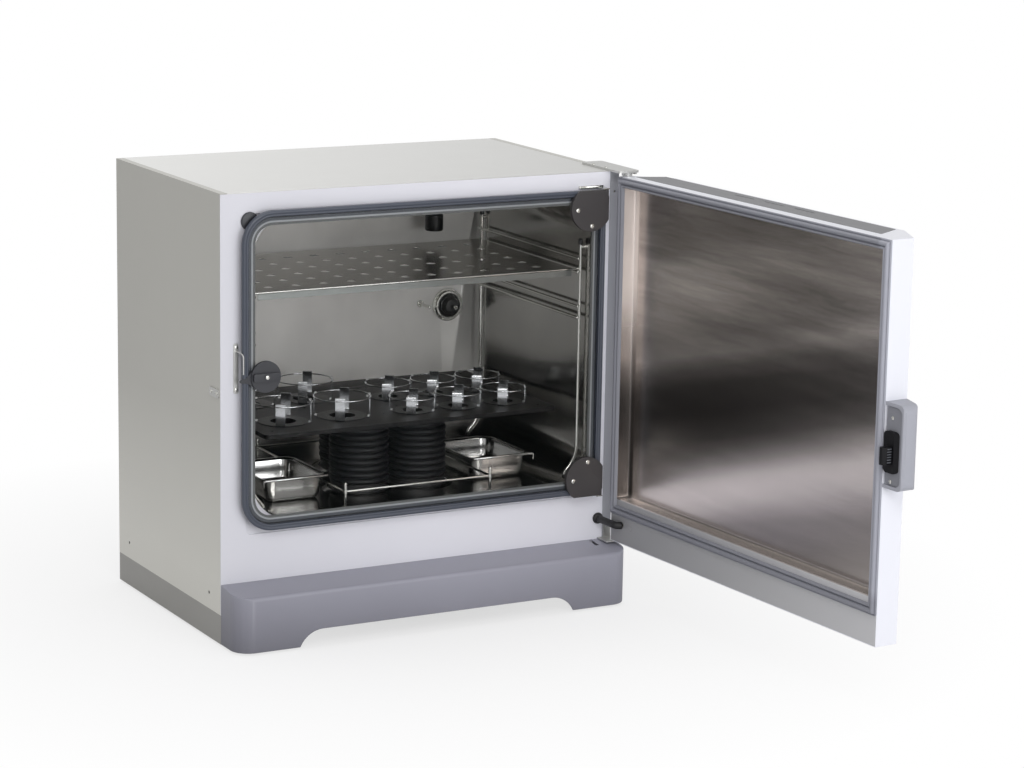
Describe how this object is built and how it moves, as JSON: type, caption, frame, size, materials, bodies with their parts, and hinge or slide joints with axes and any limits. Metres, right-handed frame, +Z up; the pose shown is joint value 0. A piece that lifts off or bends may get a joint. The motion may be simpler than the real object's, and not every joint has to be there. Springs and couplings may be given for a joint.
{
  "type": "incubated benchtop shaker",
  "caption": "Insulated benchtop incubator with an orbiting flask platform on bellows-sealed cranks, a wire-racked shelf, an inner glass door and a side-hinged outer door.",
  "frame": {"origin": "centre of the cabinet's footprint on the bench", "axes": "+Z up, +Y towards the back of the cabinet, +X to the right seen from the front; at joint value 0 the outer door stands 93.2 degrees open and the glass door is shut"},
  "size_m": [0.9288, 1.4204, 0.838],
  "materials": {
    "painted_side": "satin",
    "painted_front": "satin",
    "painted_door": "satin",
    "skirt_grey": "satin",
    "bumper_grey": "satin",
    "cap_grey": "matte",
    "handle_grey": "satin",
    "charcoal_plastic": "matte",
    "black_plastic": "satin",
    "black_rubber": "matte",
    "grey_rubber": "satin",
    "seal_grey": "satin",
    "stainless": "satin",
    "bright_steel": "polished",
    "zinc": "satin",
    "cast_bearing": "matte",
    "alu": "satin",
    "platform_black": "satin",
    "inner_grey": "satin",
    "foam": "matte",
    "pane_glass": "gloss",
    "brass": "satin"
  },
  "bodies": {
    "cabinet": {"left_side_panel": "painted_side", "right_side_panel": "painted_side", "top_panel": "painted_side", "rear_panel": "painted_side", "front_fascia": "painted_front", "hinge_side_trim": "cap_grey", "base_skirt": "skirt_grey", "base_frame": "zinc", "rubber_feet": "black_rubber", "front_bumper": "bumper_grey", "chamber_insulation": "foam", "chamber_liner": "stainless", "liner_flange": "stainless", "access_port_sleeve": "bright_steel", "access_port_plug": "black_plastic", "temperature_probe": "bright_steel", "humidity_sensor": "black_plastic", "shelf_racks": "bright_steel", "shelf": "stainless", "shelf_stiffeners": "stainless", "pan_frame": "bright_steel", "water_pans": "bright_steel", "bellows_collars": "black_plastic", "left_bellows": "black_rubber", "right_bellows": "black_rubber", "rear_bellows": "black_rubber", "crank_bearings": "cast_bearing", "drive_motor": "cast_bearing", "drive_belt": "black_rubber", "rear_service_cover": "painted_side", "mains_inlet": "black_plastic", "gas_inlet": "brass", "glass_hinge_brackets": "bright_steel", "latch_strike": "bright_steel", "door_stop": "charcoal_plastic", "upper_hinge_bracket": "zinc", "lower_hinge_bracket": "zinc", "side_strike": "zinc", "cable_boss": "black_rubber", "cable_sleeve": "black_rubber"},
    "outer_door": {"door_skin": "painted_door", "door_foam": "foam", "door_inner_frame": "inner_grey", "door_liner": "stainless", "door_seal": "seal_grey", "door_end_caps": "cap_grey", "handle_housing": "handle_grey", "control_panel": "black_plastic"},
    "outer_latch_lever": {"outer_latch": "black_plastic"},
    "glass_door": {"glass_pane": "pane_glass", "glass_seal": "grey_rubber", "glass_hinge_covers": "charcoal_plastic"},
    "glass_latch": {"latch_knob": "charcoal_plastic"},
    "rear_crank_shaft": {"rear_crank": "alu"},
    "left_crank_shaft": {"left_crank": "alu"},
    "right_crank_shaft": {"right_crank": "alu"},
    "shaking_platform": {"platform": "platform_black", "large_flask_clamps": "bright_steel", "small_flask_clamps": "bright_steel"},
    "motor_shaft": {"motor_pulley": "alu"}
  },
  "joints": [
    {"name": "outer_door_hinge", "type": "hinge", "parent": "cabinet", "child": "outer_door", "pos_m": [0.411, -0.2755, 0.47], "axis": [0, 0, 1], "range_deg": [-93.2, 26.8], "deforming": ["cable_sleeve"]},
    {"name": "outer_latch_pivot", "type": "hinge", "parent": "outer_door", "child": "outer_latch_lever", "pos_m": [0.45357, -1.12645, 0.468], "axis": [0, 0, 1], "range_deg": [0, 10]},
    {"name": "glass_door_hinge", "type": "hinge", "parent": "cabinet", "child": "glass_door", "pos_m": [0.3705, -0.2685, 0.506], "axis": [0, 0, 1], "range_deg": [0, 85]},
    {"name": "glass_latch_turn", "type": "hinge", "parent": "glass_door", "child": "glass_latch", "pos_m": [-0.331, -0.2655, 0.501], "axis": [0, 1, 0], "range_deg": [-60, 20]},
    {"name": "rear_crank_spin", "type": "hinge", "parent": "cabinet", "child": "rear_crank_shaft", "pos_m": [0, 0.0735, 0.25], "axis": [0, 0, 1], "continuous": true},
    {"name": "platform_orbit", "type": "hinge", "parent": "rear_crank_shaft", "child": "shaking_platform", "pos_m": [0.00508, 0.08492, 0.36], "axis": [0, 0, 1], "continuous": true},
    {"name": "left_crank_spin", "type": "hinge", "parent": "cabinet", "child": "left_crank_shaft", "pos_m": [-0.061, -0.0995, 0.25], "axis": [0, 0, 1], "continuous": true},
    {"name": "right_crank_spin", "type": "hinge", "parent": "cabinet", "child": "right_crank_shaft", "pos_m": [0.061, -0.0995, 0.25], "axis": [0, 0, 1], "continuous": true},
    {"name": "motor_shaft_spin", "type": "hinge", "parent": "cabinet", "child": "motor_shaft", "pos_m": [0.205, 0.0735, 0.128], "axis": [0, 0, 1], "continuous": true}
  ],
  "couplings": [
    {"joint": "platform_orbit", "follows": "rear_crank_spin", "ratio": -1},
    {"joint": "left_crank_spin", "follows": "rear_crank_spin", "ratio": 1},
    {"joint": "right_crank_spin", "follows": "rear_crank_spin", "ratio": 1},
    {"joint": "motor_shaft_spin", "follows": "rear_crank_spin", "ratio": 2.5455}
  ]
}
